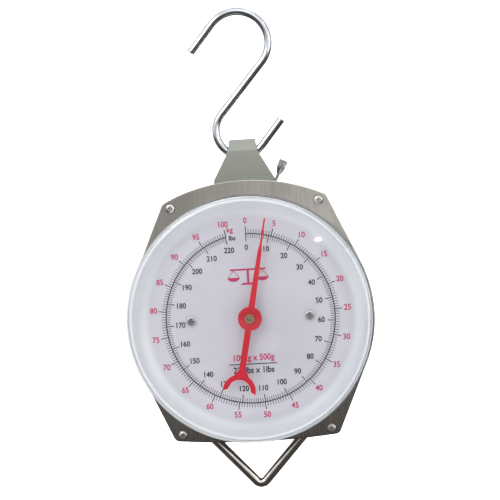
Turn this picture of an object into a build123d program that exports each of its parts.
from build123d import *
import math
import os

# Hanging dial scale, 100 kg in 500 g steps.
# An S-hook carries a folded yoke, the yoke carries an anchor bar, two extension springs hang from
# the bar and pull up a crosshead, and a V-shaped load bow hangs from the crosshead.
# A rack on the crosshead turns the pinion of the pointer spindle.
#
# Everything is drawn about the centre of the dial, with X to the right, Y to the back and Z up,
# and is lowered when it is written, so that the origin is the inside top of the S-hook.

# Driving dimensions, in millimetres and degrees
HOOK_WIRE = 3.6            # radius of the hook's wire
HOOK_TOP_Z = 251.4         # centre of the upper bow of the hook
HOOK_TOP_R = 28.9          # radius of the upper bow, to the middle of the wire
HOOK_LOW_Z = 171.5         # centre of the lower bow
HOOK_LOW_R = 23.5
HOOK_TOP_ARM = 32.5        # straight end of the upper bow
HOOK_LOW_ARM = 30.0
HOOK_ARM_SLOPE = 50.0      # slope of the straight ends

CASE_TOP_Z = 124.6         # middle of the arched top edge
CASE_TOP_R = 170.0
CASE_LOW_Z = -111.6        # middle of the bottom edge
CASE_LOW_R = 700.0
CORNER_X = 74.0            # half width between the corners
CORNER_R = 6.0
BODY_R = 111.6             # round part of the case behind the lens
SHEET = 1.0                # case sheet thickness
FRONT_Y = -24.0            # front face of the cover
BACK_Y = 22.0              # back face of the pan
FLANGE = 12.0              # depth of the cover's turned edge
LAP = 0.1                  # gap between the cover's edge and the pan
CASE_SCREW_X = 67.0
CASE_SCREW_Z = 102.5

DIAL_Y = -28.0             # face of the dial
DIAL_SHEET = 1.5
DIAL_R = 92.0              # flat part of the dial
DIAL_RIM_R = 108.9         # outside of its raised rim
DIAL_RIM_Y = -42.5
DIAL_SCREW_X = 53.3
LENS_R = 111.0             # lens radius at its base
LENS_Y = -52.5             # front of the lens
LENS_WALL = 1.5
SEAT_RING_R = (107.1, 109.3)
SEAT_RING_DEPTH = 3.0

CAPACITY = 100.0           # kilograms
FULL_TURN = 346.5          # pointer angle at full load
PINION_TEETH = 16
TOOTH_MODULE = 0.5
SHOWN_LOAD = 3.35          # load shown by the pointer as stored
BACKLASH = 0.05            # taken off each tooth flank

YOKE_RIDGE_Z = 163.0
YOKE_SHEET = 1.5
YOKE_GAP = 4.2             # half the gap between the yoke's two leaves
YOKE_SLOPE = 24.0          # lean of the ridge's two sides

ANCHOR_Z = (95.0, 109.0)
ANCHOR_HALF_X = 38.0
ANCHOR_HALF_Y = 4.1
ANCHOR_PIN_Z = 101.5
BOLT_X = 11.0
BOLT_Z = 102.0

SPRING_X = 29.0
SPRING_R = 10.5            # mean radius of the coils
SPRING_WIRE = 2.25         # radius of the spring wire
SPRING_TOP_Z = 88.0
SPRING_LOW_Z = -10.0
SPRING_COILS = 21
PLUG_R = SPRING_R - SPRING_WIRE - 0.05
LOWER_PLUG_R = PLUG_R - 0.25
LOWER_PLUG_GAP = 1.2       # from the last coil to the flange of a lower plug
STEM_R = 4.0               # stem of a lower plug

BRIDGE_Y = (-17.0, -15.0)
CHASSIS_Y = (15.0, 17.0)
PILLAR_X = 46.0
PILLAR_Z = (70.0, -35.0)
SPACER_Z = (95.0, -52.0)

CROSSHEAD_Z = (-77.0, -65.0)
CROSSHEAD_HALF_X = 44.0
BOW_ROD = 4.3              # radius of the load bow's rod
BOW_PIN_Z = -71.0
BOW_LEG_X = 52.0
BOW_APEX_Z = -154.9        # where the lines of its two arms meet
BOW_HALF_ANGLE = 42.5
BOW_APEX_BEND = 6.0

KNOB_X = 28.7              # where the zero screw leaves the case
KNOB_Y = 9.0
KNOB_Z = 125.0
KNOB_LEAN = 25.4
ZERO_SCREW_R = 1.5
BRACKET_BACK = 2.5         # thickness of the zero bracket's back

SPINDLE_R = 2.0
POINTER_Y = (-38.0, -35.6)
RACK_SCREWS = (-4.0, 12.0)
GUIDE_X = 12.0             # fixed guide behind the rack
GUIDE_R = 3.7
GUIDE_PIN_R = 1.5
RUNNING = 0.06             # radial running clearance
BOTH_SIDES = (-1, 1)

PITCH_R = PINION_TEETH * TOOTH_MODULE / 2
TRAVEL = PITCH_R * math.radians(FULL_TURN)
SHOWN_TRAVEL = TRAVEL * SHOWN_LOAD / CAPACITY
SHOWN_TURN = FULL_TURN * SHOWN_LOAD / CAPACITY
DIAL_CENTRE_Z = -(HOOK_TOP_Z + HOOK_TOP_R - HOOK_WIRE)

os.makedirs("parts", exist_ok=True)


def save(node, *solids):
    """Write one node, lowered so that the origin is the inside top of the hook."""
    moved = [Pos(0, 0, DIAL_CENTRE_Z) * solid for group in solids for solid in group.solids()]
    export_step(Compound(children=moved), f"parts/{node}.step")


def rod_y(radius, y0, y1, x=0.0, z=0.0):
    return Pos(x, (y0 + y1) / 2, z) * Rot(90, 0, 0) * Cylinder(radius, y1 - y0)


def rod_z(radius, z0, z1, x=0.0, y=0.0):
    return Pos(x, y, (z0 + z1) / 2) * Cylinder(radius, z1 - z0)


def rod_x(radius, x0, x1, y=0.0, z=0.0):
    return Pos((x0 + x1) / 2, y, z) * Rot(0, 90, 0) * Cylinder(radius, x1 - x0)


def block(x0, x1, y0, y1, z0, z1):
    middle = Pos((x0 + x1) / 2, (y0 + y1) / 2, (z0 + z1) / 2)
    return middle * Box(x1 - x0, y1 - y0, z1 - z0)


def plate(face, y0, y1):
    """Give a flat shape, drawn in X and Z, a thickness from y0 to y1."""
    at_back = Plane(origin=(0, y1, 0), x_dir=(1, 0, 0), z_dir=(0, -1, 0))
    return extrude(at_back * face, amount=y1 - y0)


def hexagon_y(across_flats, y0, y1, x, z):
    face = Pos(x, z) * RegularPolygon(across_flats / 2, 6, major_radius=False)
    return plate(face, y0, y1)


def cross_recess(y, x, z, size):
    """Cutter for a cross recess in a screw head that faces the front."""
    depth = 1.2
    arm = 0.9
    across = block(x - size / 2, x + size / 2, y, y + depth, z - arm / 2, z + arm / 2)
    upright = block(x - arm / 2, x + arm / 2, y, y + depth, z - size / 2, z + size / 2)
    return across + upright


def pan_screw(x, z, y_seat, head_r, head_h, shank_r, length):
    """Cross-recessed screw that enters from the front, with its head seated at y_seat."""
    head = rod_y(head_r, y_seat - head_h, y_seat, x, z)
    front_rim = head.edges().group_by(Axis.Y)[0]
    head = fillet(front_rim, head_h * 0.6)
    shank = rod_y(shank_r, y_seat, y_seat + length, x, z)
    return head + shank - cross_recess(y_seat - head_h, x, z, head_r)


def corners(half_x, zs):
    return [(side * half_x, z) for z in zs for side in BOTH_SIDES]


CASE_SCREWS = corners(CASE_SCREW_X, (CASE_SCREW_Z, -CASE_SCREW_Z))
PILLARS = corners(PILLAR_X, PILLAR_Z)
SPACERS = corners(PILLAR_X, SPACER_Z)


# S-hook
def hook():
    """Two bows joined by the straight line that touches both, with a straight end on each."""
    reach = HOOK_TOP_Z - HOOK_LOW_Z
    lean = math.degrees(math.asin((HOOK_TOP_R + HOOK_LOW_R) / reach))
    top_arc = CenterArc((0, HOOK_TOP_Z), HOOK_TOP_R, -lean, 90 + HOOK_ARM_SLOPE + lean)
    low_arc = CenterArc((0, HOOK_LOW_Z), HOOK_LOW_R, 180 - lean, 90 + HOOK_ARM_SLOPE + lean)
    step = Vector(math.cos(math.radians(HOOK_ARM_SLOPE)), math.sin(math.radians(HOOK_ARM_SLOPE)))
    top_arm = Line(top_arc @ 1 - step * HOOK_TOP_ARM, top_arc @ 1)
    low_arm = Line(low_arc @ 1, low_arc @ 1 + step * HOOK_LOW_ARM)
    middle = Line(top_arc @ 0, low_arc @ 0)
    path = Plane.XZ * Wire([top_arm, top_arc, middle, low_arc, low_arm])
    start = Plane(origin=path @ 0, z_dir=path % 0)
    wire = sweep(start * Circle(HOOK_WIRE), path=path)
    ends = [face.edges() for face in wire.faces().filter_by(GeomType.PLANE)]
    return fillet([edge for group in ends for edge in group], 1.2)


# Yoke, folded from one strap over the hook's lower bow
def yoke():
    slope = math.tan(math.radians(YOKE_SLOPE))
    outer_y = YOKE_GAP + YOKE_SHEET
    peak_in = YOKE_RIDGE_Z - YOKE_SHEET
    peak_out = peak_in + YOKE_SHEET / math.sin(math.radians(YOKE_SLOPE))
    flat = (peak_out - YOKE_RIDGE_Z) * slope
    low = ANCHOR_Z[0]
    outside = Polyline(
        (-outer_y, low), (-outer_y, peak_out - outer_y / slope), (-flat, YOKE_RIDGE_Z),
        (flat, YOKE_RIDGE_Z), (outer_y, peak_out - outer_y / slope), (outer_y, low), close=True,
    )
    inside = Polyline(
        (-YOKE_GAP, low - 1), (-YOKE_GAP, peak_in - YOKE_GAP / slope), (0, peak_in),
        (YOKE_GAP, peak_in - YOKE_GAP / slope), (YOKE_GAP, low - 1), close=True,
    )
    half_length = 30.0
    section = extrude(Plane.YZ * make_face(outside), amount=half_length, both=True)
    ridge = section.edges().filter_by(Axis.X).group_by(Axis.Z)[-1]
    section = fillet(ridge, 0.9)
    section -= extrude(Plane.YZ * make_face(inside), amount=half_length + 1, both=True)
    right = [(12.0, 163.4), (12.5, 158.4), (14.1, 150.8), (27.7, 126.4), (27.7, 122.4), (19.5, 113.0)]
    right.append((19.5, low))
    left = [(-x, z) for x, z in reversed(right)]
    front = make_face(Polyline(*right, *left, close=True))
    leaves = section & plate(front, -outer_y, outer_y)
    for side in BOTH_SIDES:
        leaves -= rod_y(2.6, -outer_y - 1, outer_y + 1, side * BOLT_X, BOLT_Z)
    return leaves


# Case: a stainless cover in front and a pan behind it
def outline(inset=0.0):
    """Front view of the case: arched top, corners, straight sides that touch the round body."""
    corner_top = CASE_TOP_Z - CASE_TOP_R + math.sqrt(CASE_TOP_R**2 - CORNER_X**2)
    corner_low = CASE_LOW_Z + CASE_LOW_R - math.sqrt(CASE_LOW_R**2 - CORNER_X**2)

    def touch(z):
        turn = math.atan2(abs(z), CORNER_X) - math.acos(BODY_R / math.hypot(CORNER_X, z))
        return BODY_R * math.cos(turn), math.copysign(BODY_R * math.sin(turn), z)

    top_x, top_z = touch(corner_top)
    low_x, low_z = touch(corner_low)
    edges = [ThreePointArc((-CORNER_X, corner_top), (0, CASE_TOP_Z), (CORNER_X, corner_top))]
    edges.append(Line((CORNER_X, corner_top), (top_x, top_z)))
    edges.append(ThreePointArc((top_x, top_z), (BODY_R, 0), (low_x, low_z)))
    edges.append(Line((low_x, low_z), (CORNER_X, corner_low)))
    edges.append(ThreePointArc((CORNER_X, corner_low), (0, CASE_LOW_Z), (-CORNER_X, corner_low)))
    edges.append(Line((-CORNER_X, corner_low), (-low_x, low_z)))
    edges.append(ThreePointArc((-low_x, low_z), (-BODY_R, 0), (-top_x, top_z)))
    edges.append(Line((-top_x, top_z), (-CORNER_X, corner_top)))
    face = make_face(edges)
    face = fillet([v for v in face.vertices() if abs(abs(v.X) - CORNER_X) < 0.01], CORNER_R)
    return offset(face, amount=-inset) if inset else face


def front_cover():
    cover = plate(outline(), FRONT_Y, FRONT_Y + FLANGE)
    cover = fillet(cover.faces().sort_by(Axis.Y)[0].edges(), SHEET * 0.9)
    cover -= plate(outline(SHEET), FRONT_Y + SHEET, FRONT_Y + FLANGE + 1)
    cover -= rod_y(9.0, FRONT_Y - 1, FRONT_Y + 2)
    for side in BOTH_SIDES:
        cover -= rod_y(5.2, FRONT_Y - 1, FRONT_Y + 2, side * DIAL_SCREW_X)
    for x, z in CASE_SCREWS:
        cover -= rod_y(2.2, FRONT_Y - 1, FRONT_Y + 2, x, z)
    return cover


def zero_axis(solid):
    """Place a solid drawn along Z on the leaning axis of the zero screw."""
    return Pos(KNOB_X, KNOB_Y, KNOB_Z) * Rot(0, KNOB_LEAN, 0) * solid


def back_pan():
    inset = SHEET + LAP
    front = FRONT_Y + SHEET + LAP
    pan = plate(outline(inset), front, BACK_Y)
    pan = fillet(pan.faces().sort_by(Axis.Y)[-1].edges(), 5.0)
    room = plate(outline(inset + SHEET), front - 1, BACK_Y - SHEET)
    room = fillet(room.faces().sort_by(Axis.Y)[-1].edges(), 4.0)
    pan -= room
    pan -= block(-28.8, 28.8, -6.3, 6.3, 110, 130)
    for side in BOTH_SIDES:
        slot = Pos(side * 43.5, 0, -108) * Box(28, 17, 20)
        pan -= fillet(slot.edges().filter_by(Axis.Z), 8.0)
    return pan - zero_axis(rod_z(2.2, -12, 12))


def case_post(x, z, pan):
    """Threaded post, shaped at its back end to the pan that it is welded to."""
    return rod_y(3.5, FRONT_Y + SHEET, BACK_Y - SHEET, x, z) - rod_y(2.0, FRONT_Y, FRONT_Y + 18, x, z) - pan


# Dial, a white dish with a raised rim, and its clear lens
def dial_plate():
    """Flat dial whose edge curves up to a rim, with a skirt that leans inwards down to the cover."""
    back = DIAL_Y + DIAL_SHEET
    foot_y = FRONT_Y - 0.2
    rim_in = 105.0
    under_y = DIAL_RIM_Y + 1.4
    front_edge = Polyline((6.0, back), (6.0, DIAL_Y), (DIAL_R, DIAL_Y)).edges()
    slope = Spline((DIAL_R, DIAL_Y), (rim_in, DIAL_RIM_Y), tangents=((1, 0), (0.15, -1)))
    rim = Polyline(
        (rim_in, DIAL_RIM_Y), (DIAL_RIM_R, DIAL_RIM_Y), (106.5, foot_y), (105.1, foot_y),
        (107.5, under_y), (106.5, under_y),
    )
    under = Spline((106.5, under_y), (DIAL_R, back), tangents=((-0.15, 1), (-1, 0)))
    close = Line((DIAL_R, back), (6.0, back))
    dish = revolve(make_face([*front_edge, slope, *rim.edges(), under, close]), Axis.Y)
    for side in BOTH_SIDES:
        dish -= rod_y(2.2, DIAL_Y - 1, back + 1, side * DIAL_SCREW_X)
    return dish


def lens():
    """Shallow dome with a rounded shoulder and a tall wall."""
    shoulder_y = LENS_Y + 8.5
    inner_y = LENS_Y + LENS_WALL
    outside = Polyline((0, inner_y), (0, LENS_Y), (99.7, LENS_Y + 1.0), (106.2, LENS_Y + 2.0))
    outer_bend = Spline((106.2, LENS_Y + 2.0), (108.9, LENS_Y + 4.1), (110.1, shoulder_y),
                        tangents=((1, 0.16), (0.05, 1)))
    base_in = LENS_R - LENS_WALL
    wall = Polyline((110.1, shoulder_y), (LENS_R, FRONT_Y), (base_in, FRONT_Y), (109.1, shoulder_y))
    inner_bend = Spline((109.1, shoulder_y), (107.7, LENS_Y + 5.2), (105.5, LENS_Y + 3.5),
                        tangents=((-0.05, -1), (-1, -0.16)))
    inside = Polyline((105.5, LENS_Y + 3.5), (99.7, inner_y + 1.0), (0, inner_y))
    edges = [*outside.edges(), outer_bend, *wall.edges(), inner_bend, *inside.edges()]
    return revolve(make_face(edges), Axis.Y)


# Frame inside the case
def bridge_plate():
    y0, y1 = BRIDGE_Y
    bridge = block(-60, 60, y0, y1, -12, 12) + block(-52, 52, y0, y1, -45, 80)
    bridge += block(-20, 20, y0, y1, 80, 109)
    for side in BOTH_SIDES:
        middle = side * SPRING_X
        bridge -= block(middle - 9, middle + 9, y0 - 1, y1 + 1, 16, 62)
        bridge -= rod_y(2.6, y0 - 1, y1 + 1, side * BOLT_X, BOLT_Z)
        bridge -= rod_y(2.1, y0 - 1, y1 + 1, side * DIAL_SCREW_X)
    for x, z in PILLARS:
        bridge -= rod_y(1.6, y0 - 1, y1 + 1, x, z)
    bridge -= rod_y(3.55, y0 - 1, y1 + 1)
    return bridge - rod_y(GUIDE_PIN_R + 0.05, y0 - 1, y1 + 1, GUIDE_X)


def chassis_plate():
    y0, y1 = CHASSIS_Y
    chassis = block(-52, 52, y0, y1, -60, 108) + block(-34, 34, y0, y1, 108, 116)
    for x, z in PILLARS:
        chassis -= rod_y(1.6, y0 - 1, y1 + 1, x, z)
    for x, z in SPACERS:
        chassis -= rod_y(2.05, y0 - 1, y1 + 1, x, z)
    for side in BOTH_SIDES:
        chassis -= rod_y(2.6, y0 - 1, y1 + 1, side * BOLT_X, BOLT_Z)
    chassis -= rod_y(3.55, y0 - 1, y1 + 1)
    return chassis - rod_y(GUIDE_PIN_R + 0.05, y0 - 1, y1 + 1, GUIDE_X)


def bush(y_plate, outward):
    """Flanged bush for the spindle, pressed into a plate from its inner side."""
    y0, y1 = y_plate
    inner = y0 if outward > 0 else y1
    flange = sorted((inner, inner - outward * 1.5))
    solid = rod_y(3.5, y0, y1) + rod_y(5.0, *flange)
    return solid - rod_y(SPINDLE_R + RUNNING, y0 - 3, y1 + 3)


def pillar_screw(x, z, seat, outward):
    head = sorted((seat, seat + outward * 2.0))
    shank = sorted((seat, seat - outward * 8.0))
    return rod_y(2.8, *head, x, z) + rod_y(1.45, *shank, x, z)


def anchor_bar():
    bar = block(-ANCHOR_HALF_X, ANCHOR_HALF_X, -ANCHOR_HALF_Y, ANCHOR_HALF_Y, *ANCHOR_Z)
    for side in BOTH_SIDES:
        bar -= rod_y(3.05, -5, 5, side * SPRING_X, ANCHOR_PIN_Z)
        bar -= rod_y(2.6, -5, 5, side * BOLT_X, BOLT_Z)
    return bar


# Main springs and the plugs that they are wound on
def main_spring(x):
    height = SPRING_TOP_Z - SPRING_LOW_Z
    path = Helix(pitch=height / SPRING_COILS, height=height, radius=SPRING_R)
    start = Plane(origin=path @ 0, z_dir=path % 0)
    coil = sweep(start * Circle(SPRING_WIRE), path=path, is_frenet=True)
    return Pos(x, 0, SPRING_LOW_Z) * coil


def upper_plug(x):
    seat = SPRING_TOP_Z + SPRING_WIRE + 0.3
    plug = rod_z(PLUG_R, SPRING_TOP_Z - 12, seat, x) + rod_z(12.0, seat, seat + 3.0, x)
    plug += rod_z(PLUG_R, seat + 3.0, 106.0, x)
    plug -= block(x - 9, x + 9, -ANCHOR_HALF_Y - 0.15, ANCHOR_HALF_Y + 0.15, 94.7, 107)
    return plug - rod_y(3.05, -10, 10, x, ANCHOR_PIN_Z)


def lower_plug(x):
    seat = SPRING_LOW_Z - SPRING_WIRE - LOWER_PLUG_GAP
    plug = rod_z(LOWER_PLUG_R, seat, SPRING_LOW_Z + 12, x) + rod_z(12.0, seat - 3.0, seat, x)
    return plug + rod_z(STEM_R, CROSSHEAD_Z[0] - 6.5, seat - 3.0, x)


def lower_nut(x):
    low = CROSSHEAD_Z[0] - 5.0
    nut = extrude(Pos(x, 0, low) * RegularPolygon(6.5, 6, major_radius=False), amount=5.0)
    return nut - rod_z(STEM_R + 0.05, low - 1, low + 6, x)


# What the load moves
def crosshead():
    bar = block(-CROSSHEAD_HALF_X, CROSSHEAD_HALF_X, -7, 7, *CROSSHEAD_Z)
    bar = fillet(bar.edges().filter_by(Axis.Z), 3.0)
    for side in BOTH_SIDES:
        bar -= rod_z(STEM_R + 0.05, CROSSHEAD_Z[0] - 1, CROSSHEAD_Z[1] + 1, side * SPRING_X)
        pin_hole = sorted((side * 34.5, side * (CROSSHEAD_HALF_X + 1)))
        bar -= rod_x(BOW_ROD + RUNNING, *pin_hole, 0, BOW_PIN_Z)
    for x in RACK_SCREWS:
        bar -= rod_z(1.6, CROSSHEAD_Z[1] - 7, CROSSHEAD_Z[1] + 1, x)
    return bar


def rack():
    """Toothed bar on a foot. Its teeth are in mesh with the pinion at the shown load."""
    pitch = math.pi * TOOTH_MODULE
    lean = math.tan(math.radians(20))
    tip_x = PITCH_R - 0.4
    root_x = PITCH_R + 0.65
    half = pitch / 4 - BACKLASH
    bar = block(root_x, 8.0, -4, 4, CROSSHEAD_Z[1], 31.0)
    bar += block(-8.0, 16.0, -4, 4, CROSSHEAD_Z[1], CROSSHEAD_Z[1] + 3.0)
    teeth = []
    for count in range(-3, 19):
        middle = count * pitch - SHOWN_TRAVEL
        tip_half = half - 0.4 * lean
        root_half = half + 0.65 * lean
        teeth.append(make_face(Polyline(
            (tip_x, middle - tip_half), (tip_x, middle + tip_half), (root_x + 0.2, middle + root_half),
            (root_x + 0.2, middle - root_half), close=True,
        )))
    for tooth in teeth:
        bar += plate(tooth, -4, 4)
    for x in RACK_SCREWS:
        bar -= rod_z(1.7, CROSSHEAD_Z[1] - 1, CROSSHEAD_Z[1] + 4, x)
    return bar


def rack_screw(x):
    seat = CROSSHEAD_Z[1] + 3.0
    return rod_z(2.8, seat, seat + 2.0, x) + rod_z(1.5, seat - 9.0, seat, x)


def load_bow():
    leg_low = BOW_APEX_Z + BOW_LEG_X / math.tan(math.radians(BOW_HALF_ANGLE))
    right = [(35.5, BOW_PIN_Z), (BOW_LEG_X, BOW_PIN_Z), (BOW_LEG_X, leg_low)]
    left = [(-x, z) for x, z in reversed(right)]
    path = FilletPolyline(*right, (0, BOW_APEX_Z), *left, radius=[6.0, 9.0, BOW_APEX_BEND, 9.0, 6.0])
    path = Plane.XZ * path
    start = Plane(origin=path @ 0, z_dir=path % 0)
    return sweep(start * Circle(BOW_ROD), path=path)


# Pointer assembly
def pinion():
    base = PITCH_R * math.cos(math.radians(20))
    tip = PITCH_R + 0.45
    root = PITCH_R - 0.6

    def involute(radius):
        turn = math.acos(min(1.0, base / radius))
        return math.tan(turn) - turn

    half_at_pitch = math.pi / (2 * PINION_TEETH) - BACKLASH / PITCH_R + involute(PITCH_R)
    radii = [base + (tip - base) * step / 4 for step in range(5)]
    flank = [(radius, half_at_pitch - involute(radius)) for radius in radii]
    flank.insert(0, (root, flank[0][1]))
    points = []
    for count in range(PINION_TEETH):
        middle = (count + 0.5) * 2 * math.pi / PINION_TEETH
        rising = [(radius, middle - half) for radius, half in flank]
        falling = [(radius, middle + half) for radius, half in reversed(flank)]
        points += [(r * math.cos(turn), r * math.sin(turn)) for r, turn in rising + falling]
    face = make_face(Polyline(*points, close=True))
    return at_shown_load(plate(face, -5, 5) - rod_y(SPINDLE_R + 0.02, -6, 6))


def at_shown_load(solid):
    return Rot(0, SHOWN_TURN, 0) * solid


def pointer():
    """Needle, blade, hub disc and a crescent tail, drawn pointing up and then turned."""
    right = [(0.7, 90.5), (0.9, 67.0), (1.8, 61.0), (2.8, 12.0), (2.8, -46.0), (7.0, -52.5)]
    left = [(-x, z) for x, z in reversed(right)]
    blade = make_face(Polyline(*right, (0, -54.0), *left, close=True))
    fork_z = -65.5
    crescent = Pos(0, fork_z) * (Circle(14.8) - Circle(10.3))
    tips = [(-20, fork_z - 3.5), (0, fork_z + 5.5), (20, fork_z - 3.5), (20, -90), (-20, -90)]
    crescent -= make_face(Polyline(*tips, close=True))
    solid = plate(blade + crescent, POINTER_Y[0] + 0.5, POINTER_Y[1] - 0.5)
    hub = rod_y(10.75, *POINTER_Y)
    hub = fillet(hub.edges().group_by(Axis.Y)[0], 0.8)
    return at_shown_load(solid + hub - rod_y(SPINDLE_R + 0.02, -45, -30))


# Zero adjustment
def zero_knob():
    """Knurled thumb screw, drawn along Z with the case wall at zero."""
    knurl_r = 4.4
    ribs = 28
    points = []
    for count in range(2 * ribs):
        radius = knurl_r if count % 2 else knurl_r - 0.45
        turn = math.pi * count / ribs
        points.append((radius * math.cos(turn), radius * math.sin(turn)))
    head = extrude(Pos(0, 0, 10.6) * make_face(Polyline(*points, close=True)), amount=8.5)
    neck = Pos(0, 0, 7.9) * Cone(2.05, 4.0, 5.4)
    return zero_axis(head + neck + rod_z(ZERO_SCREW_R, -24.0, 5.4))


def zero_nut():
    """Captive nut of the zero screw, flat against the bracket's back."""
    back = CHASSIS_Y[0] - KNOB_Y - BRACKET_BACK
    nut = block(-3.6, 3.6, -2.9, back, -17.0, -12.0)
    return zero_axis(nut - rod_z(ZERO_SCREW_R + RUNNING, -18, -11))


def zero_bracket():
    back = CHASSIS_Y[0] - KNOB_Y
    bracket = block(-4.0, 4.0, back - BRACKET_BACK, back, -23.0, -7.0)
    for low in (-23.0, -9.0):
        bracket += block(-4.0, 4.0, -2.8, back, low, low + 2.0)
    return zero_axis(bracket - rod_z(ZERO_SCREW_R + RUNNING, -24, -5))


save("s_hook", hook())

save("yoke", yoke())
save("yoke_bolts", *[
    hexagon_y(8.0, BRIDGE_Y[0] - 3.5, BRIDGE_Y[0], side * BOLT_X, BOLT_Z)
    + rod_y(2.5, BRIDGE_Y[0], CHASSIS_Y[1] + 3.8, side * BOLT_X, BOLT_Z) for side in BOTH_SIDES])
save("yoke_nuts", *[
    hexagon_y(8.0, CHASSIS_Y[1], CHASSIS_Y[1] + 3.5, side * BOLT_X, BOLT_Z)
    - rod_y(2.55, CHASSIS_Y[1] - 1, CHASSIS_Y[1] + 5, side * BOLT_X, BOLT_Z) for side in BOTH_SIDES])
leaf_y = YOKE_GAP + YOKE_SHEET
save("yoke_sleeves", *[
    rod_y(4.5, *span, side * BOLT_X, BOLT_Z) - rod_y(2.6, span[0] - 1, span[1] + 1, side * BOLT_X, BOLT_Z)
    for side in BOTH_SIDES for span in ((BRIDGE_Y[1], -leaf_y), (leaf_y, CHASSIS_Y[0]))])
save("anchor_bar", anchor_bar())
save("anchor_pins", *[rod_y(3.0, -9.0, 9.0, side * SPRING_X, ANCHOR_PIN_Z) for side in BOTH_SIDES])
save("upper_spring_plugs", *[upper_plug(side * SPRING_X) for side in BOTH_SIDES])
save("main_spring_left", main_spring(-SPRING_X))
save("main_spring_right", main_spring(SPRING_X))

save("chassis_plate", chassis_plate())
save("chassis_spacers", *[
    rod_y(4.0, CHASSIS_Y[1], BACK_Y - SHEET, x, z)
    - rod_y(2.0, CHASSIS_Y[1] - 1, BACK_Y - SHEET + 1, x, z) for x, z in SPACERS])
save("chassis_screws", *[
    pan_screw(x, z, CHASSIS_Y[0], 3.8, 2.4, 1.95, 5.5) for x, z in SPACERS])
save("bridge_plate", bridge_plate())
save("bridge_pillars", *[
    rod_y(4.0, BRIDGE_Y[1], CHASSIS_Y[0], x, z)
    - rod_y(1.5, BRIDGE_Y[1] - 1, CHASSIS_Y[0] + 1, x, z) for x, z in PILLARS])
save("pillar_screws", *[
    pillar_screw(x, z, seat, way) for x, z in PILLARS
    for seat, way in ((BRIDGE_Y[0], -1), (CHASSIS_Y[1], 1))])
save("front_bush", bush(BRIDGE_Y, -1))
save("rear_bush", bush(CHASSIS_Y, 1))
save("guide_pin", rod_y(GUIDE_PIN_R, BRIDGE_Y[0], CHASSIS_Y[1], GUIDE_X))
save("rack_guide", rod_y(GUIDE_R, -3.5, 3.5, GUIDE_X) - rod_y(GUIDE_PIN_R + 0.02, -5, 5, GUIDE_X))

rear_shell = back_pan()
save("back_pan", rear_shell)
save("case_posts", *[case_post(x, z, rear_shell) for x, z in CASE_SCREWS])
save("front_cover", front_cover())
save("case_screws", *[pan_screw(x, z, FRONT_Y, 3.9, 2.6, 1.95, 14.0) for x, z in CASE_SCREWS])
save("dial_plate", dial_plate())
save("dial_standoffs", *[
    rod_y(4.5, BRIDGE_Y[0] - 9.5, BRIDGE_Y[0], side * DIAL_SCREW_X)
    - rod_y(2.0, BRIDGE_Y[0] - 10, BRIDGE_Y[0] + 1, side * DIAL_SCREW_X) for side in BOTH_SIDES])
save("dial_screws", *[
    pan_screw(side * DIAL_SCREW_X, 0, DIAL_Y, 4.5, 2.4, 1.95, 10.5) for side in BOTH_SIDES])
ring_front = FRONT_Y - SEAT_RING_DEPTH
ring_hole = rod_y(SEAT_RING_R[0], ring_front - 1, FRONT_Y + 1)
save("lens_seat_ring", rod_y(SEAT_RING_R[1], ring_front, FRONT_Y) - ring_hole)
save("lens", lens())
save("zero_bracket", zero_bracket())

save("crosshead", crosshead())
save("lower_spring_plugs", *[lower_plug(side * SPRING_X) for side in BOTH_SIDES])
save("lower_plug_nuts", *[lower_nut(side * SPRING_X) for side in BOTH_SIDES])
save("rack", rack())
save("rack_screws", *[rack_screw(x) for x in RACK_SCREWS])
save("load_bow", load_bow())

save("spindle", rod_y(SPINDLE_R, -41.6, 18.5))
save("pinion", pinion())
save("pointer", pointer())
nut_y = POINTER_Y[0] - 3.0
save("pointer_nut", at_shown_load(
    hexagon_y(8.2, nut_y, POINTER_Y[0], 0, 0) - rod_y(SPINDLE_R + 0.02, nut_y - 1, POINTER_Y[0] + 1)))

save("zero_knob", zero_knob())
save("zero_nut", zero_nut())

print("travel", round(TRAVEL, 3), "shown travel", round(SHOWN_TRAVEL, 4), "turn", round(SHOWN_TURN, 4))
print("dial centre", round(DIAL_CENTRE_Z, 3))
